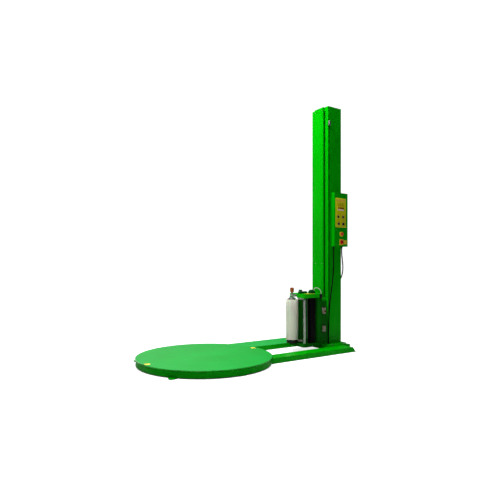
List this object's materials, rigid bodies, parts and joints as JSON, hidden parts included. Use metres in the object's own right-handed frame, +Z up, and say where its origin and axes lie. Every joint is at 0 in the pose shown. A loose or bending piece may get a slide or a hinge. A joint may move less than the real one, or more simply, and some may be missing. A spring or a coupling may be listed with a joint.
{
  "type": "turntable pallet wrapper",
  "caption": "Stretch-film pallet wrapper: a low round turntable on two base rails, and a mast with a film carriage and control box.",
  "frame": {"origin": "on the floor, on the turntable's axis", "axes": "+Z up along the mast, +X from the turntable to the mast, -Y towards the operator's side with the control box"},
  "size_m": [2.7548, 1.4998, 3.13],
  "materials": {
    "machine_green": "gloss enamel",
    "deck_green": "gloss enamel",
    "steel": "machined",
    "wheel_plastic": "turned",
    "motor_grey": "painted",
    "belt_rubber": "ribbed",
    "switch_silver": "cast",
    "roller_green": "satin",
    "roller_grey": "ground",
    "roller_rubber": "smooth",
    "film_white": "stretch film",
    "black_plastic": "moulded",
    "cone_grey": "turned",
    "knob_orange": "moulded",
    "brake_black": "satin",
    "box_grey": "moulded",
    "cable_white": "pvc",
    "cable_black": "pvc",
    "bezel_yellow": "moulded",
    "switch_red": "moulded",
    "stop_red": "moulded"
  },
  "bodies": {
    "base": {"base_spider": "machine_green", "skirt_ring": "machine_green", "pivot_post": "steel", "drive_chain": "steel", "wheel_brackets": "machine_green", "near_rail": "machine_green", "far_rail": "machine_green", "mast_foot": "machine_green", "table_gearmotor": "motor_grey", "motor_cover": "machine_green", "mast_column": "machine_green", "mast_front_cover": "machine_green", "mast_top_cap": "machine_green", "mast_rear_cover": "machine_green", "limit_switches": "switch_silver", "lift_gearmotor": "motor_grey", "lift_belt": "belt_rubber", "control_box": "machine_green", "control_cover": "machine_green", "switch_bezels": "bezel_yellow", "cable_glands": "black_plastic", "motor_cable": "cable_black", "mast_cable": "cable_black", "fasteners": "steel"},
    "turntable": {"table_plate": "deck_green", "table_hub": "steel", "drive_ring": "steel"},
    "deck_wheel_1": {"support_wheel_1": "wheel_plastic"},
    "deck_wheel_2": {"support_wheel_2": "wheel_plastic"},
    "deck_wheel_3": {"support_wheel_3": "wheel_plastic"},
    "deck_wheel_4": {"support_wheel_4": "wheel_plastic"},
    "deck_wheel_5": {"support_wheel_5": "wheel_plastic"},
    "deck_wheel_6": {"support_wheel_6": "wheel_plastic"},
    "chain_driver": {"drive_sprocket": "steel"},
    "chain_idler": {"idler_sprocket": "steel"},
    "belt_driver": {"lift_drive_pulley": "steel"},
    "belt_return": {"lift_top_pulley": "steel"},
    "carriage": {"carriage_trolley": "machine_green", "carriage_frame": "machine_green", "carriage_cover": "machine_green", "reel_arm": "machine_green", "brake_unit": "brake_black", "junction_boxes": "box_grey", "brake_cable": "cable_white"},
    "lower_wheels": {"wheelset_lower": "steel"},
    "upper_wheels": {"wheelset_upper": "steel"},
    "film_reel": {"film_roll": "film_white", "reel_base": "black_plastic"},
    "plunger": {"reel_plunger": "cone_grey", "reel_knob": "knob_orange"},
    "green_roll": {"green_roller": "roller_green"},
    "grey_roll": {"grey_roller": "roller_grey"},
    "brake_roll": {"brake_roller": "roller_rubber"},
    "tension_screw": {"tension_knob": "black_plastic"},
    "main_switch": {"main_switch_knob": "switch_red"},
    "stop_button": {"estop_button": "stop_red"},
    "left_selector": {"selector_left": "black_plastic"},
    "right_selector": {"selector_right": "black_plastic"},
    "left_dial": {"dial_left": "black_plastic"},
    "right_dial": {"dial_right": "black_plastic"}
  },
  "joints": [
    {"name": "table_spin", "type": "hinge", "parent": "base", "child": "turntable", "pos_m": [0, 0, 0], "axis": [0, 0, 1], "continuous": true},
    {"name": "deck_wheel_1_spin", "type": "hinge", "parent": "base", "child": "deck_wheel_1", "pos_m": [0.44589, 0.40148, 0.044], "axis": [0.7431, 0.6691, 0], "continuous": true},
    {"name": "deck_wheel_2_spin", "type": "hinge", "parent": "base", "child": "deck_wheel_2", "pos_m": [0.02094, 0.59963, 0.044], "axis": [0.0349, 0.9994, 0], "continuous": true},
    {"name": "deck_wheel_3_spin", "type": "hinge", "parent": "base", "child": "deck_wheel_3", "pos_m": [-0.47281, 0.3694, 0.044], "axis": [-0.788, 0.6157, 0], "continuous": true},
    {"name": "deck_wheel_4_spin", "type": "hinge", "parent": "base", "child": "deck_wheel_4", "pos_m": [-0.47281, -0.3694, 0.044], "axis": [-0.788, -0.6157, 0], "continuous": true},
    {"name": "deck_wheel_5_spin", "type": "hinge", "parent": "base", "child": "deck_wheel_5", "pos_m": [0.02094, -0.59963, 0.044], "axis": [0.0349, -0.9994, 0], "continuous": true},
    {"name": "deck_wheel_6_spin", "type": "hinge", "parent": "base", "child": "deck_wheel_6", "pos_m": [0.49742, -0.33552, 0.044], "axis": [0.829, -0.5592, 0], "continuous": true},
    {"name": "chain_driver_spin", "type": "hinge", "parent": "base", "child": "chain_driver", "pos_m": [1.64, 0.385, 0.0375], "axis": [0, 0, 1], "continuous": true},
    {"name": "chain_idler_spin", "type": "hinge", "parent": "base", "child": "chain_idler", "pos_m": [0.64, 0.262, 0.0375], "axis": [0, 0, 1], "continuous": true},
    {"name": "carriage_lift", "type": "slide", "parent": "base", "child": "carriage", "axis": [0, 0, 1], "range_m": [0, 2.2]},
    {"name": "belt_driver_spin", "type": "hinge", "parent": "base", "child": "belt_driver", "pos_m": [1.85, 0, 0.52], "axis": [0, 1, 0], "range_deg": [0, 2700]},
    {"name": "belt_return_spin", "type": "hinge", "parent": "base", "child": "belt_return", "pos_m": [1.85, 0, 3.05], "axis": [0, 1, 0], "range_deg": [0, 2700]},
    {"name": "upper_wheels_spin", "type": "hinge", "parent": "carriage", "child": "upper_wheels", "pos_m": [1.7545, 0, 0.6], "axis": [0, 1, 0], "range_deg": [-4300, 0]},
    {"name": "lower_wheels_spin", "type": "hinge", "parent": "carriage", "child": "lower_wheels", "pos_m": [1.7545, 0, 0.35], "axis": [0, 1, 0], "range_deg": [0, 4300]},
    {"name": "film_reel_spin", "type": "hinge", "parent": "carriage", "child": "film_reel", "pos_m": [1.245, 0, 0.4], "axis": [0, 0, 1], "continuous": true},
    {"name": "green_roll_spin", "type": "hinge", "parent": "carriage", "child": "green_roll", "pos_m": [1.385, 0, 0.388], "axis": [0, 0, 1], "continuous": true},
    {"name": "grey_roll_spin", "type": "hinge", "parent": "carriage", "child": "grey_roll", "pos_m": [1.324, -0.145, 0.388], "axis": [0, 0, 1], "continuous": true},
    {"name": "brake_roll_spin", "type": "hinge", "parent": "carriage", "child": "brake_roll", "pos_m": [1.474, -0.106, 0.388], "axis": [0, 0, 1], "continuous": true},
    {"name": "plunger_lift", "type": "slide", "parent": "carriage", "child": "plunger", "axis": [0, 0, 1], "range_m": [0, 0.02], "stiffness_N_per_m": 400, "springref_m": -0.03},
    {"name": "tension_screw_turn", "type": "hinge", "parent": "carriage", "child": "tension_screw", "pos_m": [1.345, -0.048, 0.746], "axis": [0, 0, 1], "range_deg": [0, 270]},
    {"name": "main_switch_turn", "type": "hinge", "parent": "base", "child": "main_switch", "pos_m": [1.893, -0.22, 1.377], "axis": [0, -1, 0], "range_deg": [0, 90]},
    {"name": "left_selector_turn", "type": "hinge", "parent": "base", "child": "left_selector", "pos_m": [1.832, -0.22, 1.701], "axis": [0, -1, 0], "range_deg": [-45, 45]},
    {"name": "right_selector_turn", "type": "hinge", "parent": "base", "child": "right_selector", "pos_m": [1.919, -0.22, 1.701], "axis": [0, -1, 0], "range_deg": [-45, 45]},
    {"name": "left_dial_turn", "type": "hinge", "parent": "base", "child": "left_dial", "pos_m": [1.839, -0.22, 1.611], "axis": [0, -1, 0], "range_deg": [-150, 150]},
    {"name": "right_dial_turn", "type": "hinge", "parent": "base", "child": "right_dial", "pos_m": [1.921, -0.22, 1.611], "axis": [0, -1, 0], "range_deg": [-150, 150]},
    {"name": "stop_button_push", "type": "slide", "parent": "base", "child": "stop_button", "axis": [0, 1, 0], "range_m": [0, 0.006], "stiffness_N_per_m": 900}
  ],
  "couplings": [
    {"joint": "deck_wheel_1_spin", "follows": "table_spin", "ratio": -20},
    {"joint": "deck_wheel_2_spin", "follows": "table_spin", "ratio": -20},
    {"joint": "deck_wheel_3_spin", "follows": "table_spin", "ratio": -20},
    {"joint": "deck_wheel_4_spin", "follows": "table_spin", "ratio": -20},
    {"joint": "deck_wheel_5_spin", "follows": "table_spin", "ratio": -20},
    {"joint": "deck_wheel_6_spin", "follows": "table_spin", "ratio": -20},
    {"joint": "chain_driver_spin", "follows": "table_spin", "ratio": 5.5882},
    {"joint": "chain_idler_spin", "follows": "table_spin", "ratio": -8.6364},
    {"joint": "belt_driver_spin", "follows": "carriage_lift", "rad_per_m": 21.142},
    {"joint": "belt_return_spin", "follows": "carriage_lift", "rad_per_m": 21.142},
    {"joint": "upper_wheels_spin", "follows": "carriage_lift", "rad_per_m": -33.333},
    {"joint": "lower_wheels_spin", "follows": "carriage_lift", "rad_per_m": 33.333}
  ]
}
